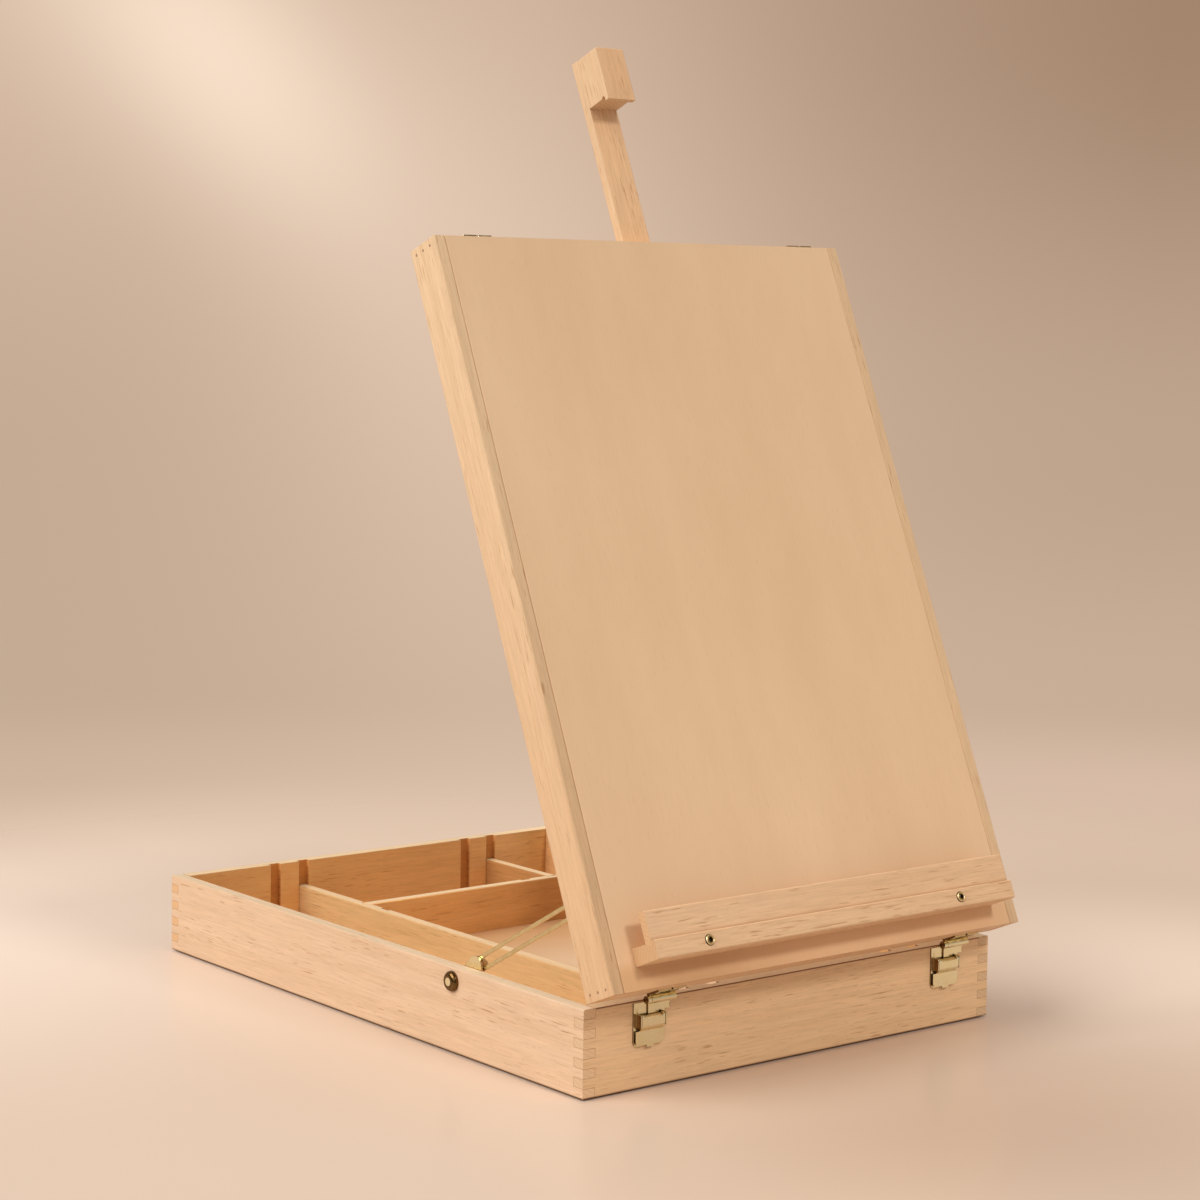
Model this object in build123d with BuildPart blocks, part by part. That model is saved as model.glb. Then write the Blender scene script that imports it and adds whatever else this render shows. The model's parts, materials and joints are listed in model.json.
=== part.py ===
from build123d import *
from math import cos, radians, sin
import os

# Table box easel: a shallow beech box with a tray inside, whose lid is the easel's panel.
# The lid stands open on two catch hinges at the box's front and leans back on two slotted stays.
# Frame: X to the right along the front board, Y to the back, Z up.
# The origin is the centre of the box's underside.

# Box
box_width = 300.0
box_depth = 420.0
box_height = 48.0
box_wall = 8.0
finger_count = 9
board_lift = 1.0
bottom_thickness = 3.0
bottom_rebate = 4.0
edge_break = 0.6

# Lid
lid_height = 24.0
lid_side_wall = 7.5
lid_rail_wall = 8.0
lid_angle = 67.0
rim_gap = 0.3
panel_thickness = 4.0
panel_edge_break = 0.35
nail_diameter = 1.5
nail_length = 14.0
nail_heights = (5.0, 11.8, 18.6)

# Tray
divider_thickness = 7.0
divider_top = 32.0
divider_clearance = 0.25
groove_depth = 3.0
divider_groove_depth = 2.0
long_divider_inset = 93.5
short_divider_inset = 55.5
cross_divider_inset = 78.0
spare_groove_pitch = 21.5

# Catches and catch hinges
hinge_catch_inset = 40.0
hinge_catch_shift = 3.3
rear_leaf_inset = 30.0
rod_offset = 3.2
rod_diameter = 2.6
rod_length = 19.4
rod_head_length = 2.6
hook_clearance = 0.2
hook_sheet = 0.7
hook_width = 16.6
hook_shift = 6.8
hook_waist = 11.6
hook_notch = 7.6
hook_scoop = 2.5
hook_scoop_depth = 2.3
hook_reach = 4.0
plate_width = 21.3
plate_height = 23.4
plate_sheet = 0.8
plate_drop = 1.5
plate_corner = 3.0
lever_pivot_out = 3.4
lever_pivot_drop = 8.9
lever_width = 15.5
lever_height = 15.4
lever_sheet = 0.5
lever_leaf_width = 19.8
lever_leaf_corner = 2.6
lever_foot_out = 1.5
lever_bulge = 7.0
lever_lip = 0.3
lever_knuckle = 1.4
lever_tab_width = 5.0
lever_tab_length = 1.2
stub_diameter = 1.6
link_pivot_out = 2.05
link_pivot_drop = 14.3
link_knuckle = 1.1
link_pin_diameter = 1.2
pin_clearance = 0.05
ear_sheet = 0.8
ear_height = 7.4
ear_gap = 0.25
lug_sheet = 0.7
rear_rod_drop = 4.3
rear_hook_tilt = 10.0
rear_lever_lift = 100.0
leaf_width = 19.0
leaf_sheet = 1.0
leaf_margin = 0.4
hinge_leaf_top = 10.0
leaf_screw_inset = 5.2
leaf_slot = 1.2
leaf_slot_length = 7.0
web_sheet = 0.8
web_width = 12.0
catch_screw_diameter = 1.6
catch_screw_length = 5.0
catch_screw_head = 3.0
catch_screw_head_height = 0.5
catch_screw_inset = 4.4
catch_pin_inset = 2.0

# Stays
stay_stud_inset = 106.0
stay_stud_rise = 1.5
stay_pivot_along = 52.4
stay_pivot_height = 12.0
stay_sheet = 1.5
stay_width = 8.8
stay_slot = 4.7
stay_slot_start = 13.0
stay_gap = 0.3
stay_plate = 1.4
stay_plate_radius = 5.6
stud_diameter = 3.0
stud_head = 6.2
stud_head_height = 1.6
shoe_clearance = 0.1
shoe_flange = 7.6
shoe_flange_height = 2.2
anchor_bolt_inset = 116.0
anchor_bolt_drop = 7.7
anchor_bolt_diameter = 5.0
anchor_head = 11.5
anchor_head_height = 3.2
anchor_head_round = 2.6

# Mast
mast_width = 20.0
mast_thickness = 6.0
mast_back = 10.0
mast_top = 538.5
mast_bottom = 104.0
block_depth = 24.0
block_length = 31.0
block_lip = 3.0
block_lip_drop = 2.0
block_groove = 1.2
mast_clearance = 0.3
mast_rail_width = 10.0
mast_rail_start = 262.0
stop_pin_diameter = 4.0
stop_pin_reach = 3.0
stop_pin_above = 6.0
bridge_length = 30.0
bridge_thickness = 6.0
bridge_start = 318.0
clamp_thread = 5.0
clamp_bush = 8.0
knob_diameter = 18.0
knob_height = 7.0
knob_flutes = 8
knob_flute_diameter = 4.0

# Ledge
ledge_length = 263.0
ledge_bottom = 12.0
ledge_thickness = 9.5
ledge_depth = 19.6
ledge_strip = 2.8
ledge_strip_rise = 0.9
lip_thickness = 5.0
lip_rise = 16.5
lip_groove = 2.4
lip_round = 1.9
ledge_screw_left_inset = 36.0
ledge_screw_right_inset = 42.0
ledge_screw_rise = 5.4
ledge_screw_diameter = 3.0
ledge_cup = 6.2
ledge_cup_height = 0.9
ledge_cup_slope = 38.0
ledge_socket = 2.6
tnut_flange = 14.0
tnut_flange_height = 1.2
tnut_barrel = 5.0

# Reference places
half_width = box_width / 2
half_depth = box_depth / 2
panel_back = lid_height - panel_thickness
long_divider_x = long_divider_inset - half_width
short_divider_x = half_width - short_divider_inset
cross_divider_y = half_depth - cross_divider_inset
stay_stud_y = stay_stud_inset - half_depth
anchor_bolt_y = anchor_bolt_inset - half_depth
along = Vector(0, cos(radians(lid_angle)), sin(radians(lid_angle)))
outward = Vector(0, -sin(radians(lid_angle)), cos(radians(lid_angle)))
hinge_axis = Vector(0, -half_depth - rod_offset, box_height + rim_gap)
lid_corner = hinge_axis + along * rod_offset


def lid_point(x, t, w):
    """A point of the lid: t along it from its hinge end, w from its rim towards its face."""
    return lid_corner + Vector(x, 0, 0) + along * t + outward * w


def lid_face(w):
    """A plane parallel to the panel. Its x is the box's X, and its y runs up the lid."""
    return Plane(origin=lid_point(0, 0, w), x_dir=(1, 0, 0), z_dir=outward)


def lid_end(t):
    """A plane across the lid. Its x is the box's X turned round and its y runs to the face."""
    return Plane(origin=lid_point(0, t, 0), x_dir=(-1, 0, 0), z_dir=along)


def lid_side(x):
    """A plane along the lid's side. Its x runs up the lid and its y from the rim to the face."""
    return Plane(origin=lid_point(x, 0, 0), x_dir=along, z_dir=(1, 0, 0))


def moved_plane(plane, x, y, turn):
    """The same plane with its origin moved in it, turned by an angle about its own normal."""
    turned = plane.x_dir.rotate(Axis((0, 0, 0), plane.z_dir), turn)
    return Plane(origin=plane.from_local_coords((x, y, 0)), x_dir=turned, z_dir=plane.z_dir)


def save(piece, name):
    """Names a finished piece and writes it."""
    piece.label = name
    export_step(piece, f"parts/{name}.step")


os.makedirs("parts", exist_ok=True)

# Box boards. The odd fingers of each corner, counted from the bottom, belong to the side boards.
board_height = box_height - board_lift
board_middle = board_lift + board_height / 2
finger_height = board_height / finger_count
side_fingers = [board_lift + (i + 0.5) * finger_height for i in range(0, finger_count, 2)]
end_fingers = [board_lift + (i + 0.5) * finger_height for i in range(1, finger_count, 2)]
inner_width = box_width - 2 * box_wall
inner_depth = box_depth - 2 * box_wall
panel_width = inner_width + 2 * bottom_rebate
panel_depth = inner_depth + 2 * bottom_rebate
groove_width = divider_thickness + 2 * divider_clearance
groove_height = box_height - bottom_thickness
divider_height = divider_top - bottom_thickness
wall_groove_x = [
    long_divider_x,
    long_divider_x - spare_groove_pitch,
    short_divider_x,
    short_divider_x - spare_groove_pitch,
]
wall_groove_y = [cross_divider_y, cross_divider_y - spare_groove_pitch]
groove_middle = bottom_thickness + groove_height / 2

# Where the fittings stand: name, X, side of the box, height of the rod and state
front_rod_height = box_height + rim_gap
rear_rod_height = front_rod_height - rear_rod_drop
hinge_catch_x = half_width - hinge_catch_inset
rear_leaf_x = half_width - rear_leaf_inset
catches = [
    ("front_left", hinge_catch_shift - hinge_catch_x, -1, front_rod_height, 0.0, 0.0),
    ("front_right", hinge_catch_shift + hinge_catch_x, -1, front_rod_height, 0.0, 0.0),
    ("rear_left", hook_shift - rear_leaf_x, 1, rear_rod_height, rear_lever_lift, rear_hook_tilt),
    ("rear_right", hook_shift + rear_leaf_x, 1, rear_rod_height, rear_lever_lift, rear_hook_tilt),
]
plate_middle = plate_drop + plate_height / 2
pin_spots = [
    (-plate_width / 2 + catch_pin_inset, -plate_drop - 2 * catch_pin_inset),
    (plate_width / 2 - catch_pin_inset, -plate_drop - 2 * catch_pin_inset),
]
screw_spot = (0, -plate_drop - plate_height + catch_screw_inset)
fixing_spots = pin_spots + [screw_spot]


def wall_plane(x, side, height):
    """A plane on the outside of the front (side -1) or back board. Its y is up."""
    return Plane(origin=(x, side * half_depth, height), x_dir=(-side, 0, 0), z_dir=(0, side, 0))


def wall_section(x, side, height):
    """A plane across the same board. Its x points out of the box and its y is up."""
    return Plane(origin=(x, side * half_depth, height), x_dir=(0, side, 0), z_dir=(side, 0, 0))


for name, side in (("base_front_board", -1), ("base_back_board", 1)):
    with BuildPart() as end_board:
        with BuildSketch(Plane.XZ.offset(-side * half_depth)):
            with Locations((0, board_middle)):
                Rectangle(box_width, board_height)
            ends = [(e * (half_width - box_wall / 2), z) for e in (-1, 1) for z in side_fingers]
            with Locations(*ends):
                Rectangle(box_wall, finger_height, mode=Mode.SUBTRACT)
        extrude(amount=side * box_wall)
        with Locations((0, 0, bottom_thickness / 2)):
            Box(panel_width, panel_depth, bottom_thickness, mode=Mode.SUBTRACT)
        groove_y = side * (inner_depth + groove_depth) / 2
        with Locations(*[(x, groove_y, groove_middle) for x in wall_groove_x]):
            Box(groove_width, groove_depth, groove_height, mode=Mode.SUBTRACT)
        for _, x, catch_side, height, _, _ in catches:
            if catch_side == side:
                with BuildSketch(wall_plane(x, side, height)):
                    with Locations(*fixing_spots):
                        Circle(catch_screw_diameter / 2)
                extrude(amount=-catch_screw_length, mode=Mode.SUBTRACT)
    save(end_board.part, name)

for name, side in (("base_left_board", -1), ("base_right_board", 1)):
    with BuildPart() as side_board:
        with BuildSketch(Plane.YZ.offset(side * half_width)):
            with Locations((0, board_middle)):
                Rectangle(box_depth, board_height)
            ends = [(e * (half_depth - box_wall / 2), z) for e in (-1, 1) for z in end_fingers]
            with Locations(*ends):
                Rectangle(box_wall, finger_height, mode=Mode.SUBTRACT)
            with Locations((anchor_bolt_y, box_height - anchor_bolt_drop)):
                Circle(anchor_bolt_diameter / 2, mode=Mode.SUBTRACT)
        extrude(amount=-side * box_wall)
        with Locations((0, 0, bottom_thickness / 2)):
            Box(panel_width, panel_depth, bottom_thickness, mode=Mode.SUBTRACT)
        if side > 0:
            groove_x = (inner_width + groove_depth) / 2
            with Locations(*[(groove_x, y, groove_middle) for y in wall_groove_y]):
                Box(groove_depth, groove_width, groove_height, mode=Mode.SUBTRACT)
        outer_rim = side_board.edges().group_by(Axis.Z)[-1].filter_by(Axis.Y)
        chamfer(outer_rim, edge_break)
    save(side_board.part, name)

with BuildPart() as base_bottom_panel:
    with BuildSketch():
        Rectangle(panel_width, panel_depth)
    extrude(amount=bottom_thickness)
save(base_bottom_panel.part, "base_bottom_panel")

# Tray dividers, seated in the grooves and standing on the bottom panel
tongue = groove_depth - divider_clearance
long_length = inner_depth + 2 * tongue
cross_left = long_divider_x + divider_thickness / 2 - divider_groove_depth + divider_clearance
cross_right = inner_width / 2 + tongue
short_front = cross_divider_y + divider_thickness / 2 - divider_groove_depth + divider_clearance
short_back = inner_depth / 2 + tongue
joint_groove = divider_groove_depth / 2

with BuildPart() as divider_long:
    with BuildSketch(Plane.XY.offset(bottom_thickness)):
        with Locations((long_divider_x, 0)):
            Rectangle(divider_thickness, long_length)
        side_groove_x = long_divider_x + divider_thickness / 2 - joint_groove
        with Locations(*[(side_groove_x, y) for y in wall_groove_y]):
            Rectangle(divider_groove_depth, groove_width, mode=Mode.SUBTRACT)
    extrude(amount=divider_height)
    chamfer(divider_long.faces().sort_by(Axis.Z)[-1].edges().filter_by(Axis.Y), edge_break)
save(divider_long.part, "divider_long")

with BuildPart() as divider_cross:
    with BuildSketch(Plane.XY.offset(bottom_thickness)):
        with Locations(((cross_left + cross_right) / 2, cross_divider_y)):
            Rectangle(cross_right - cross_left, divider_thickness)
        rear_groove_y = cross_divider_y + divider_thickness / 2 - joint_groove
        rear_groove_x = [short_divider_x, short_divider_x - spare_groove_pitch]
        with Locations(*[(x, rear_groove_y) for x in rear_groove_x]):
            Rectangle(groove_width, divider_groove_depth, mode=Mode.SUBTRACT)
    extrude(amount=divider_height)
    chamfer(divider_cross.faces().sort_by(Axis.Z)[-1].edges().filter_by(Axis.X), edge_break)
save(divider_cross.part, "divider_cross")

with BuildPart() as divider_short:
    with BuildSketch(Plane.XY.offset(bottom_thickness)):
        with Locations((short_divider_x, (short_front + short_back) / 2)):
            Rectangle(divider_thickness, short_back - short_front)
    extrude(amount=divider_height)
    chamfer(divider_short.faces().sort_by(Axis.Z)[-1].edges().filter_by(Axis.Y), edge_break)
save(divider_short.part, "divider_short")

# Catch plates: sheet with two ears that carry the lever and two lugs that carry the hook
ear_inside = lever_width / 2 + ear_gap
ear_outside = ear_inside + ear_sheet
lug_inside = hook_waist / 2 + ear_gap
lug_outside = lug_inside + lug_sheet
ear_radius = lever_knuckle + 0.1
lever_bore = stub_diameter / 2 + pin_clearance
link_bore = link_pin_diameter / 2 + pin_clearance
knuckle_start = lug_inside - 0.1
ear_middle = -lever_pivot_drop + ear_radius - ear_height / 2


def catch_plate(x, side, height):
    """Sheet plate of one catch, with its ears, lever stubs and hook lugs."""
    section = wall_section(x, side, height)
    with BuildPart() as plate:
        with BuildSketch(wall_plane(x, side, height)):
            with Locations((0, -plate_middle)):
                plate_outline = Rectangle(plate_width, plate_height)
            fillet(plate_outline.vertices().sort_by(Axis.Y)[:2], plate_corner)
            with Locations(*fixing_spots):
                Circle(catch_screw_diameter / 2, mode=Mode.SUBTRACT)
        extrude(amount=plate_sheet)
        for s in (-1, 1):
            inner = s * ear_inside
            with BuildSketch(section.offset(inner)):
                with Locations((lever_pivot_out, -lever_pivot_drop)):
                    Circle(ear_radius)
                with Locations((lever_pivot_out, -lever_pivot_drop + 2 * ear_radius - ear_height)):
                    Circle(ear_radius)
                with Locations((lever_pivot_out, ear_middle)):
                    Rectangle(2 * ear_radius, ear_height - 2 * ear_radius)
                with Locations(((plate_sheet + lever_pivot_out) / 2, ear_middle)):
                    Rectangle(lever_pivot_out - plate_sheet, ear_height)
            extrude(amount=s * ear_sheet)
            with BuildSketch(section.offset(s * knuckle_start)):
                with Locations((lever_pivot_out, -lever_pivot_drop)):
                    Circle(stub_diameter / 2)
            extrude(amount=s * (ear_inside - knuckle_start))
            with BuildSketch(section.offset(s * lug_inside)):
                with Locations((link_pivot_out, -link_pivot_drop)):
                    Circle(link_knuckle)
                with Locations(((plate_sheet + link_pivot_out) / 2, -link_pivot_drop)):
                    Rectangle(link_pivot_out - plate_sheet, 2 * link_knuckle)
                with Locations((link_pivot_out, -link_pivot_drop)):
                    Circle(link_pin_diameter / 2, mode=Mode.SUBTRACT)
            extrude(amount=s * lug_sheet)
    return plate.part


def catch_lever(x, side, height, lift):
    """Rolled sheet lever, knuckled round the plate's stubs and raised by an angle."""
    pivot = moved_plane(wall_section(x, side, height), lever_pivot_out, -lever_pivot_drop, lift)
    front = lever_knuckle
    leaf_front = lever_foot_out + lever_sheet - lever_pivot_out
    knuckle_inside = knuckle_start + pin_clearance
    with BuildPart() as lever:
        with BuildSketch(pivot):
            with BuildLine():
                Polyline(
                    (front, -lever_lip),
                    (front, -lever_bulge + 2.4),
                    (front - 0.5, -lever_bulge + 1.2),
                    (leaf_front, -lever_bulge - 0.6),
                    (leaf_front, -lever_height),
                    (leaf_front - lever_sheet, -lever_height),
                    (leaf_front - lever_sheet, -lever_bulge - 0.4),
                    (front - 0.5 - lever_sheet, -lever_bulge + 1.6),
                    (front - lever_sheet, -lever_bulge + 2.4),
                    (front - lever_sheet, -lever_lip),
                    close=True,
                )
            make_face()
        extrude(amount=lever_width / 2, both=True)
        for s in (-1, 1):
            with BuildSketch(pivot.offset(s * knuckle_inside)):
                Circle(lever_knuckle)
                with Locations((front - lever_sheet / 2, -lever_lip)):
                    Rectangle(lever_sheet, 2 * lever_lip)
                Circle(lever_bore, mode=Mode.SUBTRACT)
            extrude(amount=s * (lever_width / 2 - knuckle_inside))
        facing = Plane(origin=pivot.origin, x_dir=-pivot.z_dir, z_dir=pivot.x_dir)
        leaf_start = -lever_bulge - 0.6
        with BuildSketch(facing.offset(leaf_front)):
            with Locations((0, (leaf_start - lever_height) / 2)):
                leaf_outline = Rectangle(lever_leaf_width, leaf_start + lever_height)
            fillet(leaf_outline.vertices().sort_by(Axis.Y)[:2], lever_leaf_corner)
            with Locations((0, -lever_height)):
                Rectangle(lever_tab_width, 2 * lever_tab_length)
        extrude(amount=-lever_sheet)
    return lever.part


def catch_hook(x, side, height, tilt):
    """Sheet hook that grips the lid's rod beside the lever, turning on its pin by an angle."""
    pivot = moved_plane(wall_section(x, side, height), link_pivot_out, -link_pivot_drop, -tilt)
    rod_x = rod_offset - link_pivot_out
    inner = rod_diameter / 2 + hook_clearance
    outer = inner + hook_sheet
    back = -link_knuckle
    with BuildPart() as hook:
        with BuildSketch(pivot.offset(-hook_shift)):
            with BuildLine():
                ThreePointArc(
                    (rod_x, link_pivot_drop + outer),
                    (rod_x + outer, link_pivot_drop),
                    (rod_x, link_pivot_drop - outer),
                )
                Polyline(
                    (rod_x, link_pivot_drop - outer),
                    (back + hook_sheet, link_pivot_drop - outer),
                    (back + hook_sheet, 0),
                    (back, 0),
                    (back, link_pivot_drop - inner),
                    (rod_x, link_pivot_drop - inner),
                )
                ThreePointArc(
                    (rod_x, link_pivot_drop - inner),
                    (rod_x + inner, link_pivot_drop),
                    (rod_x, link_pivot_drop + inner),
                )
                Line((rod_x, link_pivot_drop + inner), (rod_x, link_pivot_drop + outer))
            make_face()
        extrude(amount=hook_width / 2, both=True)
        facing = Plane(origin=pivot.origin, x_dir=-pivot.z_dir, z_dir=pivot.x_dir)
        hook_end = hook_shift + hook_width / 2
        with BuildSketch(facing.offset(-hook_reach)):
            with Locations(((hook_waist / 2 + hook_end) / 2, 0)):
                Rectangle(hook_end - hook_waist / 2, 2 * hook_notch)
            scoop_x = hook_end - hook_scoop_depth + hook_scoop
            with Locations((scoop_x, link_pivot_drop - outer - hook_scoop)):
                Circle(hook_scoop)
        extrude(amount=2 * hook_reach, mode=Mode.SUBTRACT)
        with BuildSketch(pivot):
            Circle(link_knuckle)
        extrude(amount=hook_waist / 2, both=True)
        with BuildSketch(pivot):
            Circle(link_bore)
        extrude(amount=hook_waist / 2, both=True, mode=Mode.SUBTRACT)
    return hook.part


for place, x, side, height, lift, tilt in catches:
    save(catch_plate(x, side, height), f"catch_plate_{place}")
    save(catch_lever(x, side, height, lift), f"catch_lever_{place}")
    save(catch_hook(x, side, height, tilt), f"catch_hook_{place}")

with BuildPart() as catch_pins:
    for _, x, side, height, _, _ in catches:
        with BuildSketch(wall_section(x, side, height)):
            with Locations((link_pivot_out, -link_pivot_drop)):
                Circle(link_pin_diameter / 2)
        extrude(amount=lug_outside, both=True)
save(catch_pins.part, "catch_pins")

with BuildPart() as catch_screws:
    for _, x, side, height, _, _ in catches:
        plate_face = wall_plane(x, side, height).offset(plate_sheet)
        with BuildSketch(plate_face):
            with Locations(*fixing_spots):
                Circle(catch_screw_diameter / 2)
        extrude(amount=-plate_sheet - catch_screw_length)
        with BuildSketch(plate_face):
            with Locations(screw_spot):
                Circle(catch_screw_head / 2)
        extrude(amount=catch_screw_head_height, taper=30)
save(catch_screws.part, "catch_screws")

# Lid leaves: a plate on the lid's end board, carrying the rod that a catch hook grips
strike_leaf_top = lid_height - leaf_margin
hinge_leaf_shift = hook_shift + hinge_catch_shift
leaves = [
    ("hinge_leaf_left", hinge_leaf_shift - hinge_catch_x, -1, 0.0, hinge_leaf_top),
    ("hinge_leaf_right", hinge_leaf_shift + hinge_catch_x, -1, 0.0, hinge_leaf_top),
    ("strike_leaf_left", -rear_leaf_x, 1, rear_rod_drop, strike_leaf_top),
    ("strike_leaf_right", rear_leaf_x, 1, rear_rod_drop, strike_leaf_top),
]
leaf_screw_spread = leaf_width / 2 - 3.2
rod_start = hook_width / 2 + rod_head_length + hook_clearance
rod_head = rod_diameter + 2 * hook_clearance + 2 * hook_sheet


def leaf_section(x, side, drop):
    """A plane across a leaf, centred on its rod. Its x points out of the lid and its y to the face."""
    end = 0 if side < 0 else box_depth
    centre = lid_point(x, end + side * rod_offset, -drop)
    return Plane(origin=centre, x_dir=along * side, z_dir=(side, 0, 0))


def leaf_screw_spots(top):
    """Places of a leaf's two screws on its plate."""
    return [(s * leaf_screw_spread, top - leaf_screw_inset) for s in (-1, 1)]


def leaf_plane(x, side):
    """A plane on the lid's end board at its rim. Its y runs to the face."""
    end = 0 if side < 0 else box_depth
    return Plane(origin=lid_point(x, end, 0), x_dir=(-side, 0, 0), z_dir=along * side)


for name, x, side, drop, plate_high in leaves:
    foot = drop + leaf_margin if drop else 0.0
    plate_low = foot - drop - web_sheet / 2
    with BuildPart() as leaf:
        with BuildSketch(leaf_plane(x, side)):
            with Locations((0, (plate_low + plate_high) / 2)):
                Rectangle(leaf_width, plate_high - plate_low)
            with Locations((0, plate_high - leaf_slot_length / 2)):
                Rectangle(leaf_slot, leaf_slot_length, mode=Mode.SUBTRACT)
            with Locations(*leaf_screw_spots(plate_high)):
                Circle(catch_screw_diameter / 2, mode=Mode.SUBTRACT)
        extrude(amount=leaf_sheet)
        with BuildSketch(leaf_section(x, side, drop)):
            with BuildLine():
                Line((0, 0), (leaf_sheet / 2 - rod_offset, foot))
            trace(line_width=web_sheet)
        extrude(amount=web_width / 2, both=True)
        with BuildSketch(leaf_section(x, side, drop).offset(rod_start)):
            Circle(rod_diameter / 2)
        extrude(amount=-rod_length)
        with BuildSketch(leaf_section(x, side, drop).offset(rod_start)):
            Circle(rod_head / 2)
        extrude(amount=-rod_head_length)
    save(leaf.part, name)

with BuildPart() as leaf_screws:
    for _, x, side, _, plate_high in leaves:
        outer_plane = leaf_plane(x, side).offset(leaf_sheet)
        with BuildSketch(outer_plane):
            with Locations(*leaf_screw_spots(plate_high)):
                Circle(catch_screw_diameter / 2)
        extrude(amount=-leaf_sheet - catch_screw_length)
        with BuildSketch(outer_plane):
            with Locations(*leaf_screw_spots(plate_high)):
                Circle(catch_screw_head / 2)
        extrude(amount=catch_screw_head_height, taper=30)
save(leaf_screws.part, "leaf_screws")

# Lid frame: side boards over the whole length, rails between them, panel let in flush
rail_length = box_width - 2 * lid_side_wall
rail_rows = [lid_rail_wall / 2, box_depth - lid_rail_wall / 2]
nail_spots = [(t, w) for t in rail_rows for w in nail_heights]
stay_pivot = lid_point(0, stay_pivot_along, stay_pivot_height)

for name, side in (("lid_left_board", -1), ("lid_right_board", 1)):
    with BuildPart() as lid_board:
        with BuildSketch(lid_side(side * half_width)):
            with Locations((box_depth / 2, lid_height / 2)):
                Rectangle(box_depth, lid_height)
            with Locations(*nail_spots):
                Circle(nail_diameter / 2, mode=Mode.SUBTRACT)
        extrude(amount=-side * lid_side_wall)
        long_edges = [e for e in lid_board.edges().filter_by(GeomType.LINE) if e.length > box_depth / 2]
        chamfer(long_edges, edge_break)
    save(lid_board.part, name)

slot_width = mast_width + 2 * mast_clearance
slot_thickness = mast_thickness + 2 * mast_clearance
slot_middle = mast_back + mast_thickness / 2
for name, side, start in (("lid_bottom_rail", -1, 0.0), ("lid_top_rail", 1, box_depth - lid_rail_wall)):
    with BuildPart() as rail:
        with BuildSketch(lid_end(start)):
            with Locations((0, panel_back / 2)):
                Rectangle(rail_length, panel_back)
            if side > 0:
                with Locations((0, slot_middle)):
                    Rectangle(slot_width, slot_thickness, mode=Mode.SUBTRACT)
        extrude(amount=lid_rail_wall)
        for _, x, leaf_side, _, plate_high in leaves:
            if leaf_side == side:
                with BuildSketch(leaf_plane(x, side)):
                    with Locations(*leaf_screw_spots(plate_high)):
                        Circle(catch_screw_diameter / 2)
                extrude(amount=-catch_screw_length, mode=Mode.SUBTRACT)
        for end in (-1, 1):
            with BuildSketch(lid_side(end * half_width)):
                with Locations(*[(start + lid_rail_wall / 2, w) for w in nail_heights]):
                    Circle(nail_diameter / 2)
            extrude(amount=-end * nail_length, mode=Mode.SUBTRACT)
    save(rail.part, name)

with BuildPart() as lid_nails:
    for side in (-1, 1):
        with BuildSketch(lid_side(side * half_width)):
            with Locations(*nail_spots):
                Circle(nail_diameter / 2)
        extrude(amount=-side * nail_length)
save(lid_nails.part, "lid_nails")

ledge_screw_t = ledge_bottom + ledge_screw_rise
ledge_screw_spots = [
    (ledge_screw_left_inset - ledge_length / 2, ledge_screw_t),
    (ledge_length / 2 - ledge_screw_right_inset, ledge_screw_t),
]

with BuildPart() as lid_panel:
    with BuildSketch(lid_face(panel_back)):
        with Locations((0, box_depth / 2)):
            Rectangle(rail_length, box_depth)
        with Locations(*ledge_screw_spots):
            Circle(tnut_barrel / 2, mode=Mode.SUBTRACT)
    extrude(amount=panel_thickness)
    face_edges = lid_panel.faces().sort_by(Axis(lid_corner, outward))[-1].edges()
    chamfer(face_edges.filter_by(GeomType.LINE).sort_by(Axis.X)[0], panel_edge_break)
    face_edges = lid_panel.faces().sort_by(Axis(lid_corner, outward))[-1].edges()
    chamfer(face_edges.filter_by(GeomType.LINE).sort_by(Axis.X)[-1], panel_edge_break)
save(lid_panel.part, "lid_panel")

# Ledge: a grooved block with a lip board glued in the groove, held by two socket screws in T-nuts
floor_t = ledge_bottom + ledge_thickness
strip_top = floor_t + ledge_strip_rise
block_front = lid_height + ledge_depth
lip_front = block_front - ledge_strip
lip_back = lip_front - lip_thickness
groove_bottom = floor_t - lip_groove

with BuildPart() as ledge_block:
    with BuildSketch(lid_side(0)):
        with BuildLine():
            Polyline(
                (ledge_bottom, lid_height),
                (floor_t, lid_height),
                (floor_t, lip_back),
                (groove_bottom + lip_round, lip_back),
            )
            ThreePointArc(
                (groove_bottom + lip_round, lip_back),
                (groove_bottom, (lip_back + lip_front) / 2),
                (groove_bottom + lip_round, lip_front),
            )
            Polyline(
                (groove_bottom + lip_round, lip_front),
                (strip_top, lip_front),
                (strip_top, block_front),
                (ledge_bottom, block_front),
                (ledge_bottom, lid_height),
            )
        make_face()
    extrude(amount=ledge_length / 2, both=True)
    front_face = ledge_block.faces().sort_by(Axis(lid_corner, outward))[-1]
    chamfer(front_face.edges().filter_by(Axis.X), edge_break)
    with BuildSketch(lid_face(lid_height)):
        with Locations(*ledge_screw_spots):
            Circle(ledge_screw_diameter / 2)
    extrude(amount=ledge_depth, mode=Mode.SUBTRACT)
save(ledge_block.part, "ledge_block")

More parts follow.
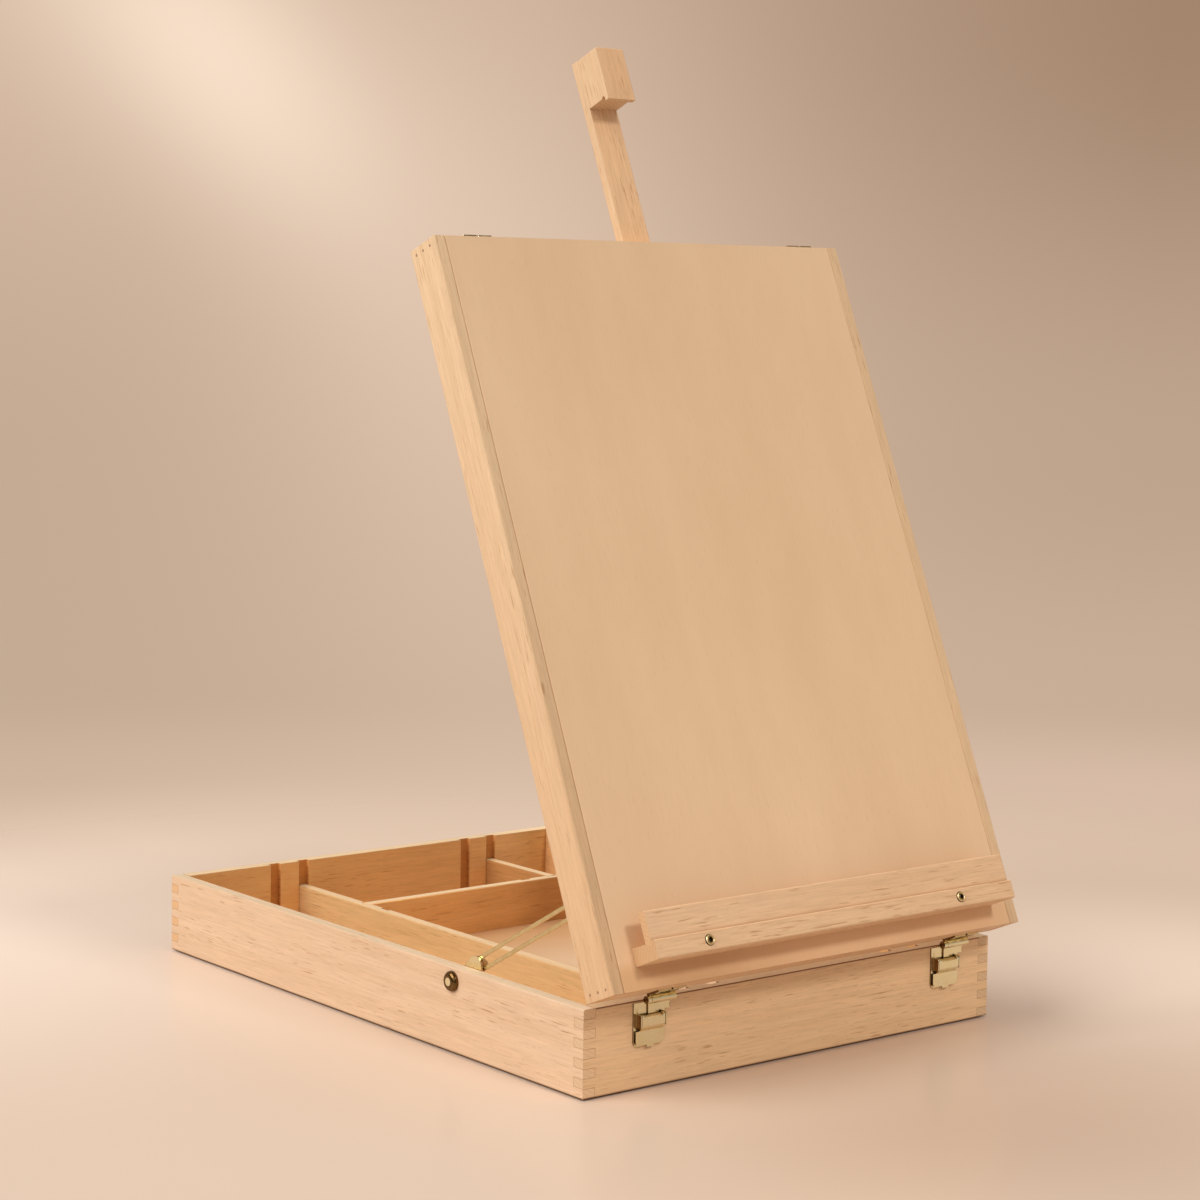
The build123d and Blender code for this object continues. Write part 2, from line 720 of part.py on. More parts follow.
with BuildPart() as ledge_lip:
    with BuildSketch(lid_side(0)):
        with BuildLine():
            ThreePointArc(
                (groove_bottom + lip_round, lip_front),
                (groove_bottom, (lip_back + lip_front) / 2),
                (groove_bottom + lip_round, lip_back),
            )
            Polyline(
                (groove_bottom + lip_round, lip_back),
                (floor_t + lip_rise, lip_back),
                (floor_t + lip_rise, lip_front),
                (groove_bottom + lip_round, lip_front),
            )
        make_face()
    extrude(amount=ledge_length / 2, both=True)
    lip_top = ledge_lip.faces().sort_by(Axis(lid_corner, along))[-1]
    chamfer(lip_top.edges().filter_by(Axis.X), edge_break)
save(ledge_lip.part, "ledge_lip")

with BuildPart() as ledge_cups:
    with BuildSketch(lid_face(block_front)):
        with Locations(*ledge_screw_spots):
            Circle(ledge_cup / 2)
            Circle(ledge_screw_diameter / 2, mode=Mode.SUBTRACT)
    extrude(amount=ledge_cup_height, taper=ledge_cup_slope)
save(ledge_cups.part, "ledge_cups")

screw_end = panel_back - tnut_flange_height
with BuildPart() as ledge_screws:
    with BuildSketch(lid_face(screw_end)):
        with Locations(*ledge_screw_spots):
            Circle(ledge_screw_diameter / 2)
    extrude(amount=block_front + ledge_cup_height - screw_end)
    with BuildSketch(lid_face(block_front + ledge_cup_height - 0.8)):
        with Locations(*ledge_screw_spots):
            RegularPolygon(ledge_socket / 2, 6)
    extrude(amount=0.8, mode=Mode.SUBTRACT)
save(ledge_screws.part, "ledge_screws")

with BuildPart() as ledge_tnuts:
    with BuildSketch(lid_face(panel_back)):
        with Locations(*ledge_screw_spots):
            Circle(tnut_flange / 2)
    extrude(amount=-tnut_flange_height)
    with BuildSketch(lid_face(panel_back)):
        with Locations(*ledge_screw_spots):
            Circle(tnut_barrel / 2)
    extrude(amount=panel_thickness)
    with BuildSketch(lid_face(screw_end)):
        with Locations(*ledge_screw_spots):
            Circle(ledge_screw_diameter / 2)
    extrude(amount=panel_thickness + tnut_flange_height, mode=Mode.SUBTRACT)
save(ledge_tnuts.part, "ledge_tnuts")

# Mast: a flat bar with the hook block at its head, sliding between two rails behind the panel
with BuildPart() as mast_bar:
    with BuildSketch(lid_end(mast_bottom)):
        with Locations((0, slot_middle)):
            Rectangle(mast_width, mast_thickness)
    extrude(amount=mast_top - mast_bottom)
    with BuildSketch(lid_face(mast_back)):
        with Locations((0, mast_bottom + stop_pin_above)):
            Circle(stop_pin_diameter / 2)
    extrude(amount=mast_thickness, mode=Mode.SUBTRACT)
save(mast_bar.part, "mast_bar")

mast_front = mast_back + mast_thickness
block_bottom = mast_top - block_length
block_face = mast_back + block_depth
with BuildPart() as mast_block:
    with BuildSketch(lid_side(0)):
        with BuildLine():
            Polyline(
                (mast_top, mast_front),
                (block_bottom, mast_front),
                (block_bottom, block_face - block_lip - 2 * block_groove),
            )
            ThreePointArc(
                (block_bottom, block_face - block_lip - 2 * block_groove),
                (block_bottom + block_groove, block_face - block_lip - block_groove),
                (block_bottom, block_face - block_lip),
            )
            Polyline(
                (block_bottom, block_face - block_lip),
                (block_bottom - block_lip_drop, block_face - block_lip),
                (block_bottom - block_lip_drop, block_face),
                (mast_top, block_face),
                (mast_top, mast_front),
            )
        make_face()
    extrude(amount=mast_width / 2, both=True)
    block_top = mast_block.faces().sort_by(Axis(lid_corner, along))[-1]
    chamfer(block_top.edges(), edge_break)
save(mast_block.part, "mast_block")

with BuildPart() as mast_stop_pin:
    with BuildSketch(lid_face(mast_back - stop_pin_reach)):
        with Locations((0, mast_bottom + stop_pin_above)):
            Circle(stop_pin_diameter / 2)
    extrude(amount=mast_thickness + stop_pin_reach)
save(mast_stop_pin.part, "mast_stop_pin")

rail_back = mast_back - mast_clearance
rail_inner = slot_width / 2
rail_end = box_depth - lid_rail_wall
for name, side in (("mast_rail_left", -1), ("mast_rail_right", 1)):
    with BuildPart() as mast_rail:
        with BuildSketch(lid_face(rail_back)):
            with Locations((side * (rail_inner + mast_rail_width / 2), (mast_rail_start + rail_end) / 2)):
                Rectangle(mast_rail_width, rail_end - mast_rail_start)
        extrude(amount=panel_back - rail_back)
    save(mast_rail.part, name)

with BuildPart() as mast_bed:
    with BuildSketch(lid_face(mast_front + mast_clearance)):
        with Locations((0, (mast_rail_start + rail_end) / 2)):
            Rectangle(slot_width, rail_end - mast_rail_start)
    extrude(amount=panel_back - mast_front - mast_clearance)
save(mast_bed.part, "mast_bed")

# Clamp: a bridge across the rails, a threaded bush in it, and a knob whose screw presses the mast
bridge_middle = bridge_start + bridge_length / 2
bridge_back = rail_back - bridge_thickness
with BuildPart() as clamp_bridge:
    with BuildSketch(lid_face(bridge_back)):
        with Locations((0, bridge_middle)):
            Rectangle(slot_width + 2 * mast_rail_width, bridge_length)
            Circle(clamp_bush / 2, mode=Mode.SUBTRACT)
    extrude(amount=bridge_thickness)
save(clamp_bridge.part, "clamp_bridge")

with BuildPart() as clamp_bush_ring:
    with BuildSketch(lid_face(bridge_back)):
        with Locations((0, bridge_middle)):
            Circle(clamp_bush / 2)
            Circle(clamp_thread / 2 + pin_clearance, mode=Mode.SUBTRACT)
    extrude(amount=bridge_thickness)
save(clamp_bush_ring.part, "clamp_bush")

with BuildPart() as clamp_screw:
    with BuildSketch(lid_face(bridge_back - knob_height)):
        with Locations((0, bridge_middle)):
            Circle(clamp_thread / 2)
    extrude(amount=knob_height + bridge_thickness)
save(clamp_screw.part, "clamp_screw")

knob_gap = 1.0
with BuildPart() as clamp_knob:
    with BuildSketch(lid_face(bridge_back - knob_gap)):
        with Locations((0, bridge_middle)):
            Circle(knob_diameter / 2)
            with PolarLocations(knob_diameter / 2, knob_flutes):
                Circle(knob_flute_diameter / 2, mode=Mode.SUBTRACT)
            Circle(clamp_thread / 2, mode=Mode.SUBTRACT)
    extrude(amount=knob_gap - knob_height)
save(clamp_knob.part, "clamp_knob")

# Stays: a slotted bar on each side, sliding over a shoe that turns on a stud in the box
wall_inside = half_width - box_wall
plate_inside = wall_inside - stay_plate
bar_outside = plate_inside - stay_gap
bar_inside = bar_outside - stay_sheet
flange_outside = bar_inside - 2 * shoe_clearance
flange_inside = flange_outside - shoe_flange_height
stud_point = Vector(0, stay_stud_y, box_height + stay_stud_rise)
stay_vector = stay_pivot - stud_point
stay_length = stay_vector.length
stay_up = stay_vector.normalized()
bolt_height = box_height - anchor_bolt_drop


def stay_plane(x):
    """A plane along a stay, centred on the stud. Its x runs up to the lid's pivot."""
    return Plane(origin=stud_point + Vector(x, 0, 0), x_dir=stay_up, z_dir=(1, 0, 0))


for place, side in (("left", -1), ("right", 1)):
    with BuildPart() as stay_anchor:
        with BuildSketch(Plane.YZ.offset(side * wall_inside)):
            ends = [(stay_stud_y, box_height + stay_stud_rise), (anchor_bolt_y, bolt_height)]
            with BuildLine():
                Line(*ends)
            trace(line_width=2 * stay_plate_radius)
            with Locations(*ends):
                Circle(stay_plate_radius)
            with Locations(ends[0]):
                Circle(stud_diameter / 2, mode=Mode.SUBTRACT)
            with Locations(ends[1]):
                Circle(anchor_bolt_diameter / 2, mode=Mode.SUBTRACT)
        extrude(amount=-side * stay_plate)
    save(stay_anchor.part, f"stay_anchor_{place}")

    with BuildPart() as stay_bar:
        with BuildSketch(stay_plane(side * bar_outside)):
            with Locations((stay_length / 2, 0)):
                SlotCenterToCenter(stay_length, stay_width)
            with Locations(((stay_length - stay_slot_start) / 2, 0)):
                SlotCenterToCenter(stay_length - stay_slot_start, stay_slot, mode=Mode.SUBTRACT)
            with Locations((stay_length, 0)):
                Circle(stud_diameter / 2, mode=Mode.SUBTRACT)
        extrude(amount=-side * stay_sheet)
    save(stay_bar.part, f"stay_bar_{place}")

    with BuildPart() as stay_shoe:
        with BuildSketch(stay_plane(side * (bar_outside + shoe_clearance))):
            Circle(stay_slot / 2 - shoe_clearance)
        extrude(amount=-side * (shoe_clearance + stay_sheet + 2 * shoe_clearance))
        with BuildSketch(stay_plane(side * flange_outside)):
            Circle(shoe_flange / 2)
        extrude(amount=-side * shoe_flange_height)
        with BuildSketch(stay_plane(side * (bar_outside + shoe_clearance))):
            Circle(stud_diameter / 2 + pin_clearance)
        extrude(amount=-side * 2 * shoe_flange_height * 2, mode=Mode.SUBTRACT)
    save(stay_shoe.part, f"stay_shoe_{place}")

    with BuildPart() as stay_rivet:
        with BuildSketch(stay_plane(side * bar_outside)):
            with Locations((stay_length, 0)):
                Circle(stud_diameter / 2)
        extrude(amount=-side * stay_sheet)
        with BuildSketch(stay_plane(side * bar_inside)):
            with Locations((stay_length, 0)):
                Circle(stud_head / 2)
        extrude(amount=-side * stud_head_height, taper=25)
    save(stay_rivet.part, f"stay_rivet_{place}")

with BuildPart() as stay_studs:
    for side in (-1, 1):
        with BuildSketch(stay_plane(side * wall_inside)):
            Circle(stud_diameter / 2)
        extrude(amount=-side * (wall_inside - flange_inside + shoe_clearance))
        with BuildSketch(stay_plane(side * (flange_inside - shoe_clearance))):
            Circle(stud_head / 2)
        extrude(amount=-side * stud_head_height, taper=25)
save(stay_studs.part, "stay_studs")

boss_outside = half_width - lid_side_wall
with BuildPart() as stay_bosses:
    for side in (-1, 1):
        with BuildSketch(stay_plane(side * boss_outside)):
            with Locations((stay_length, 0)):
                Circle(stay_width / 2)
        extrude(amount=-side * (boss_outside - plate_inside))
save(stay_bosses.part, "stay_bosses")

with BuildPart() as anchor_bolts:
    for side in (-1, 1):
        with BuildSketch(Plane.YZ.offset(side * plate_inside)):
            with Locations((anchor_bolt_y, bolt_height)):
                Circle(anchor_bolt_diameter / 2)
        extrude(amount=side * (half_width - plate_inside))
        with BuildSketch(Plane.YZ.offset(side * half_width)):
            with Locations((anchor_bolt_y, bolt_height)):
                Circle(anchor_head / 2)
        extrude(amount=side * anchor_head_height)
        outer_face = anchor_bolts.faces().sort_by(Axis.X)[-1 if side > 0 else 0]
        fillet(outer_face.edges(), anchor_head_round)
save(anchor_bolts.part, "anchor_bolts")
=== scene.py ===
import bpy
import json
from math import cos, radians, sin
from mathutils import Matrix, Vector


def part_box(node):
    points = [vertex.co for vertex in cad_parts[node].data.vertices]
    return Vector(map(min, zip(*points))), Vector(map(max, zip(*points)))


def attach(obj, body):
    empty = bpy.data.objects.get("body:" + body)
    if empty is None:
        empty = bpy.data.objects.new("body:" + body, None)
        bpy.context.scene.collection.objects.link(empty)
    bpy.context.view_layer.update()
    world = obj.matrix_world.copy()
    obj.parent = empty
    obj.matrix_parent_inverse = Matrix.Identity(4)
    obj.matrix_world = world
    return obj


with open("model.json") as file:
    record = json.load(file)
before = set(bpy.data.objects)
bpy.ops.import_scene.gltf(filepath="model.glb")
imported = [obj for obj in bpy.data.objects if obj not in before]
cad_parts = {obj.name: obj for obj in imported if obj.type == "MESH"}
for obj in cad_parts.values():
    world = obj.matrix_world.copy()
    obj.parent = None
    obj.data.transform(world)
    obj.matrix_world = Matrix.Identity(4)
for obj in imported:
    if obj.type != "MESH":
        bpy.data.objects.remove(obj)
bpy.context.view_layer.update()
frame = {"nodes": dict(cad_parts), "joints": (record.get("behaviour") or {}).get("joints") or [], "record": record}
nodes = frame["nodes"]
joints = {joint["name"]: joint for joint in frame["joints"]}
scene = bpy.context.scene
scene.view_settings.view_transform = "Standard"

# Directions of the open lid, as in the solids
lid_angle = radians(67)
right = Vector((1, 0, 0))
back = Vector((0, 1, 0))
up = Vector((0, 0, 1))
lid_up = Vector((0, cos(lid_angle), sin(lid_angle)))
lid_out = Vector((0, -sin(lid_angle), cos(lid_angle)))

# Places on the object, from the frame
board_foot, board_top = (corner.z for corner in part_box("base_left_board"))
inner_x = -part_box("base_left_board")[1].x
inner_y = -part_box("base_front_board")[1].y
finger = (board_top - board_foot) / 9
divider_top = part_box("divider_long")[1].z
bolt = sum(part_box("anchor_bolts"), Vector()) / 2
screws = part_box("ledge_screws")
screw_radius = 0.0015

# Places along the open lid, from its lower edge in front
lid_corner = Vector((0, -0.21195, 0.05125))
lid_foot = lid_up.dot(lid_corner)
screw_line = lid_foot + 0.0174
# Bands of painted shade: a shadow line on the lip just above the ledge's front strip, and the shaded foot of the
# panel below the ledge
lip_shadow_band = (lid_foot + 0.0222, lid_foot + 0.0240)
panel_foot_shade = (lid_foot + 0.010, lid_foot + 0.016)


# Node helpers
class Graph:
    """A node tree, with short calls for the nodes used here."""

    def __init__(self, tree):
        self.tree = tree
        self.coords = self.node("ShaderNodeTexCoord")

    def node(self, kind, **settings):
        made = self.tree.nodes.new(kind)
        for key, value in settings.items():
            setattr(made, key, value)
        return made

    def set(self, socket, value):
        """Links a socket, or sets it where the value is plain."""
        if isinstance(value, bpy.types.NodeSocket):
            self.tree.links.new(value, socket)
        else:
            socket.default_value = value

    def math(self, operation, a, b=0.0):
        made = self.node("ShaderNodeMath", operation=operation)
        self.set(made.inputs[0], a)
        self.set(made.inputs[1], b)
        return made.outputs[0]

    def dot(self, vector, direction):
        made = self.node("ShaderNodeVectorMath", operation="DOT_PRODUCT")
        self.set(made.inputs[0], vector)
        made.inputs[1].default_value = direction
        return made.outputs["Value"]

    def distance(self, vector, point):
        made = self.node("ShaderNodeVectorMath", operation="DISTANCE")
        self.set(made.inputs[0], vector)
        made.inputs[1].default_value = point
        return made.outputs["Value"]

    def vector(self, x, y, z):
        made = self.node("ShaderNodeCombineXYZ")
        for socket, value in zip(made.inputs, (x, y, z)):
            self.set(socket, value)
        return made.outputs[0]

    def noise(self, vector, scale=1.0, detail=2.0, roughness=0.5):
        made = self.node("ShaderNodeTexNoise")
        self.set(made.inputs["Vector"], vector)
        made.inputs["Scale"].default_value = scale
        made.inputs["Detail"].default_value = detail
        made.inputs["Roughness"].default_value = roughness
        return made.outputs["Fac"]

    def span(self, value, low, high, to_low=0.0, to_high=1.0, curve="LINEAR"):
        """Maps a range of values to another, held at its ends."""
        made = self.node("ShaderNodeMapRange", interpolation_type=curve)
        self.set(made.inputs["Value"], value)
        made.inputs["From Min"].default_value = low
        made.inputs["From Max"].default_value = high
        made.inputs["To Min"].default_value = to_low
        made.inputs["To Max"].default_value = to_high
        return made.outputs[0]

    def mix(self, factor, a, b, blend="MIX"):
        """Mixes two colours, each a socket or a tuple of three."""
        made = self.node("ShaderNodeMix", data_type="RGBA", blend_type=blend)
        self.set(made.inputs["Factor"], factor)
        self.set(made.inputs["A"], (*a, 1) if isinstance(a, tuple) else a)
        self.set(made.inputs["B"], (*b, 1) if isinstance(b, tuple) else b)
        return made.outputs["Result"]

    def tinted(self, colour, mask, tint):
        """A colour multiplied by a tint where a mask is 1."""
        return self.mix(mask, colour, self.mix(1.0, colour, tint, "MULTIPLY"))

    def dimmed(self, colour, level):
        """A colour with all its parts multiplied by a level."""
        return self.mix(1.0, colour, self.vector(level, level, level), "MULTIPLY")


class Surface(Graph):
    """A material, with the places and directions that its textures start from."""

    def __init__(self, name):
        self.material = bpy.data.materials.new(name)
        self.material.use_nodes = True
        super().__init__(self.material.node_tree)
        self.shader = self.tree.nodes["Principled BSDF"]
        self.place = self.coords.outputs["Object"]
        self.normal = self.coords.outputs["Normal"]

    def paint(self, colour, rough, specular=0.5, metallic=0.0):
        self.set(self.shader.inputs["Base Color"], colour)
        self.set(self.shader.inputs["Roughness"], rough)
        self.shader.inputs["Specular IOR Level"].default_value = specular
        self.shader.inputs["Metallic"].default_value = metallic

    def bump(self, height, distance, strength, ease):
        """Relief from a height, over edges that are rounded by a small radius."""
        rounded = self.node("ShaderNodeBevel", samples=6)
        rounded.inputs["Radius"].default_value = ease
        made = self.node("ShaderNodeBump")
        self.set(made.inputs["Normal"], rounded.outputs[0])
        made.inputs["Strength"].default_value = strength
        made.inputs["Distance"].default_value = distance
        self.set(made.inputs["Height"], height)
        self.set(self.shader.inputs["Normal"], made.outputs[0])

    def along(self, direction):
        """How far a place on the object lies along a direction."""
        return self.dot(self.place, direction)

    def turned(self, direction, low, high):
        """0 to 1 as a face turns towards a direction."""
        return self.span(self.dot(self.normal, direction), low, high)

    def axes(self, along, across, offsets):
        """Places along the grain, across it and through the board, each moved by its offset."""
        directions = (along, across, along.cross(across))
        return [self.math("ADD", self.along(axis), offset) for axis, offset in zip(directions, offsets)]

    def grain(self, axes, scales, detail, roughness=0.5):
        """Noise over axes that have a scale each."""
        scaled = (self.math("MULTIPLY", axis, scale) for axis, scale in zip(axes, scales))
        return self.noise(self.vector(*scaled), detail=detail, roughness=roughness)

    def slope(self, direction, low, high, low_tint, high_tint):
        """A tint that changes evenly along a direction, between two places."""
        return self.mix(self.span(self.along(direction), low, high), low_tint, high_tint)


# Wood
pale = (0.87, 0.60, 0.365)
deep = (0.735, 0.455, 0.245)
brown = (0.46, 0.21, 0.08)


def times(colour, tint):
    """A plain colour multiplied by a tint."""
    return tuple(part * share for part, share in zip(colour, tint))


def dark_end(share):
    """End grain as a share of the deep tone, a little redder."""
    return times(deep, (share * 1.02, share, share * 0.96))


def pale_end(tint):
    """End grain of the middle tone, tinted."""
    return times([(light + dark) / 2 for light, dark in zip(pale, deep)], tint)


def joint_lines(g, ends, border, inner_face):
    """Dark lines round a finger's end grain: above and below it, and where its board's inner face is."""
    strength = 0.85
    core, edge = 0.00012, 0.00036
    step = g.math("FRACT", g.math("DIVIDE", g.math("SUBTRACT", g.along(up), board_foot), finger))
    step_gap = g.math("SUBTRACT", 0.5, g.math("ABSOLUTE", g.math("SUBTRACT", step, 0.5)))
    step_gap = g.math("MULTIPLY", step_gap, finger)
    side_gap = g.math("SUBTRACT", g.math("ABSOLUTE", g.along(border)), inner_face)
    gap = g.math("MINIMUM", step_gap, g.math("ABSOLUTE", side_gap))
    return g.math("MULTIPLY", ends, g.span(gap, core, edge, strength, 0.0))


def box_shading(g, colour, inner, rim_highlight, inside_shade_slopes):
    """Painted shade and warm bounce light inside the tray, deeper painted shade in its grooves, painted highlights
    on its upper edges, and a painted contact shadow along its foot.
    """
    groove_shade_tint = (0.72, 0.56, 0.40)
    foot_shade_tint = (0.42, 0.30, 0.20)
    into_groove = 0.0004
    into_wall = 0.0035
    rim_foot = divider_top - 0.0008
    foot_line = 0.0009
    height = g.along(up)
    across_x = g.math("ABSOLUTE", g.along(right))
    across_y = g.math("ABSOLUTE", g.along(back))
    upper = g.math("GREATER_THAN", height, rim_foot)
    on_rim = g.math("MULTIPLY", g.turned(up, 0.8, 0.95), upper)
    below = g.math("SUBTRACT", 1.0, on_rim)
    inside_x = g.math("LESS_THAN", across_x, inner_x + into_wall)
    inside_y = g.math("LESS_THAN", across_y, inner_y + into_wall)
    inside = g.math("MULTIPLY", g.math("MULTIPLY", inside_x, inside_y), below)
    groove_x = g.math("GREATER_THAN", across_x, inner_x + into_groove)
    groove_y = g.math("GREATER_THAN", across_y, inner_y + into_groove)
    in_groove = g.math("MULTIPLY", g.math("MAXIMUM", groove_x, groove_y), inside)
    in_foot_shadow = g.span(height, board_foot, board_foot + foot_line, 1.0, 0.0)

    # Painted light and shade, not the wood's colour: the inside, its slopes and the grooves shaded, the upper
    # edges lit, the foot darkened
    colour = g.tinted(colour, inside, inner)
    for slope in inside_shade_slopes:
        colour = g.tinted(colour, inside, g.slope(*slope))
    colour = g.tinted(colour, in_groove, groove_shade_tint)
    colour = g.tinted(colour, on_rim, rim_highlight)
    return g.tinted(colour, in_foot_shadow, foot_shade_tint)


def wood(name, along, across, offset, end=dark_end(0.98), joint=None, inner=None, rim_highlight=(1.0, 1.0, 1.0),
         inside_shade_slopes=(), front=None, sides=None, slope=None, shadow_line=None):
    """Beech: soft long figure, fine fibres, the short brown flecks of its rays, and darker end grain; where asked,
    painted shade, highlights and shadow lines on top.
    """
    contrast = 0.85
    fleck_strength = 0.72
    rough = 0.5
    shadow_line_tint = (0.30, 0.19, 0.12)
    g = Surface(name)
    axes = g.axes(along, across, (offset, offset * 0.37, offset * 0.61))
    wander = g.grain(axes, (2.2, 9.0, 9.0), 3)
    clumps = g.grain(axes, (14.0, 90.0, 90.0), 2)
    streaks = g.grain(axes, (7.0, 150.0, 150.0), 4)
    fibres = g.grain(axes, (45.0, 820.0, 820.0), 3)
    dashes = g.grain(axes, (62.0, 1000.0, 1000.0), 1)
    short_dashes = g.grain(axes, (210.0, 1500.0, 1500.0), 1)
    pores = g.grain(axes, (0.0, 1500.0, 1500.0), 2)
    depth = g.math("ADD", axes[1], g.math("MULTIPLY", axes[2], 0.55))
    year = g.math("ADD", g.math("MULTIPLY", depth, 420.0), g.math("MULTIPLY", wander, 26.0))

    tone = g.math("ADD", g.math("MULTIPLY", streaks, 0.5), g.math("MULTIPLY", wander, 0.5))
    tone = g.math("ADD", tone, g.math("MULTIPLY", g.math("SINE", year), 0.06))
    tone = g.span(tone, 0.5 - contrast / 2, 0.5 + contrast / 2)
    colour = g.dimmed(g.mix(tone, deep, pale), g.span(fibres, 0.32, 0.68, 0.92, 1.05))
    long_marks = g.math("MULTIPLY", g.span(dashes, 0.62, 0.71), g.span(clumps, 0.42, 0.60))
    short_marks = g.math("MULTIPLY", g.span(short_dashes, 0.64, 0.74), 0.30)
    marks = g.math("MAXIMUM", long_marks, short_marks)
    colour = g.mix(g.math("MULTIPLY", marks, fleck_strength), colour, brown)

    ends = g.span(g.math("ABSOLUTE", g.dot(g.normal, along)), 0.75, 0.9)
    bands = g.math("MULTIPLY", g.math("SINE", g.math("MULTIPLY", depth, 2400.0)), 0.04)
    end_level = g.math("ADD", g.span(pores, 0.3, 0.7, 0.88, 1.06), bands)
    colour = g.mix(ends, colour, g.dimmed(end, end_level))
    if joint:
        colour = g.mix(joint_lines(g, ends, *joint), colour, brown)
    # Painted shade and bounce light inside the tray, with painted highlights on its upper edges
    if inner:
        colour = box_shading(g, colour, inner, rim_highlight, inside_shade_slopes)
    # Painted shade on faces turned to the lid's front
    if front:
        colour = g.tinted(colour, g.turned(lid_out, 0.4, 0.7), front)
    along_grain = g.math("SUBTRACT", 1.0, ends)
    if sides:
        colour = g.tinted(colour, along_grain, sides)
    if slope:
        colour = g.tinted(colour, along_grain, g.slope(*slope))
    # A painted shadow line, where a gap or a strip's edge throws shade
    if shadow_line:
        direction, full, gone, strength, facing = shadow_line
        near = g.span(g.along(direction), full, gone, strength, 0.0)
        colour = g.tinted(colour, g.math("MULTIPLY", near, g.turned(facing, 0.3, 0.5)), shadow_line_tint)

    sheen = g.span(fibres, 0.3, 0.7, rough + 0.08, rough - 0.08)
    g.paint(colour, g.math("ADD", sheen, g.math("MULTIPLY", ends, 0.15)), specular=0.38)
    relief = g.math("SUBTRACT", g.math("ADD", fibres, g.math("MULTIPLY", streaks, 0.6)), marks)
    g.bump(relief, 0.00006, 0.6, ease=0.0005)
    return g.material


def veneer(name, along, across, offset, light, dark, foot=None, slope=None):
    """A sheet's face: even, softly clouded, with faint pores that run along it, and painted shade where asked."""
    g = Surface(name)
    axes = g.axes(along, across, (offset, offset * 0.4, 0.0))
    clouds = g.grain(axes, (4.0, 8.0, 0.0), 5, roughness=0.6)
    veins = g.grain(axes, (4.0, 46.0, 0.0), 4)
    fibres = g.grain(axes, (60.0, 1300.0, 1300.0), 3)
    dashes = g.grain(axes, (150.0, 1100.0, 0.0), 1)
    tone = g.math("ADD", g.math("MULTIPLY", clouds, 0.78), g.math("MULTIPLY", veins, 0.22))
    colour = g.mix(g.span(tone, 0.33, 0.67), dark, light)
    colour = g.dimmed(colour, g.span(fibres, 0.3, 0.7, 0.985, 1.012))
    marks = g.span(dashes, 0.68, 0.76)
    colour = g.mix(g.math("MULTIPLY", marks, 0.22), colour, times(dark, (0.7, 0.6, 0.5)))
    # Painted shade and warm bounce light on the panel's foot under the ledge, darker towards the left
    if foot:
        foot_shade_tint = g.slope(across, -0.08, -0.02, (0.90, 0.80, 0.68), (1.06, 0.98, 0.90))
        colour = g.tinted(colour, g.span(g.along(along), *foot, 1.0, 0.0), foot_shade_tint)
    # Painted shade that changes along the sheet
    if slope:
        colour = g.tinted(colour, 1.0, g.slope(*slope))
    g.paint(colour, g.span(clouds, 0.3, 0.7, 0.56, 0.46), specular=0.35)
    g.bump(g.math("SUBTRACT", fibres, marks), 0.00003, 0.2, ease=0.0004)
    return g.material


# Metal and plastic
def ring_mask(g, one, other, centres, hole, edge):
    """1 inside a hole and past an edge, round centres that two directions place."""
    soft = 0.0001
    away = 1.0
    for centre in centres:
        first = g.math("SUBTRACT", g.along(one), centre[0])
        second = g.math("SUBTRACT", g.along(other), centre[1])
        squares = g.math("ADD", g.math("MULTIPLY", first, first), g.math("MULTIPLY", second, second))
        away = g.math("MINIMUM", away, g.math("SQRT", squares))
    in_hole = g.span(away, hole - soft, hole + soft, 1.0, 0.0)
    return g.math("MAXIMUM", in_hole, g.span(away, edge - soft, edge + soft))


def metal(name, colour, tint, rough, shaded_sides=None, rings=None, ring_shade=None):
    """Plated metal with an uneven sheen; where asked, painted shade on faces turned to its sides, and painted
    shade and dark reflections in rings.
    """
    g = Surface(name)
    clouds = g.noise(g.place, scale=180.0, detail=3)
    pits = g.noise(g.place, scale=3200.0, detail=2)
    base = g.mix(g.span(clouds, 0.35, 0.7), colour, tint)
    # Painted shade on faces turned along the given direction
    if shaded_sides:
        turned = g.math("ABSOLUTE", g.dot(g.normal, shaded_sides))
        base = g.mix(g.span(turned, 0.5, 0.75), base, (0.20, 0.11, 0.045))
    # Painted shade and dark reflections in the rings
    if rings:
        base = g.mix(ring_mask(g, *rings), base, ring_shade)
    g.paint(base, g.span(clouds, 0.3, 0.7, rough - 0.06, rough + 0.09), metallic=1.0)
    g.bump(g.math("ADD", g.math("MULTIPLY", pits, 0.12), clouds), 0.00004, 0.06, ease=0.00025)
    return g.material


def moulded(name, colour, rough):
    """Fine-textured moulded plastic, or dull painted metal."""
    g = Surface(name)
    skin = g.noise(g.place, scale=1800.0, detail=2)
    clouds = g.noise(g.place, scale=90.0, detail=3)
    lighter = tuple(min(1.0, part * 1.5 + 0.01) for part in colour)
    colour = g.mix(g.span(clouds, 0.4, 0.8), colour, lighter)
    g.paint(colour, g.span(skin, 0.3, 0.7, rough - 0.06, rough + 0.08))
    g.bump(skin, 0.0001, 0.5, ease=0.0004)
    return g.material


def dress(material, *names):
    """Gives CAD nodes a material in every slot."""
    for name in names:
        for slot in nodes[name].material_slots:
            slot.material = material


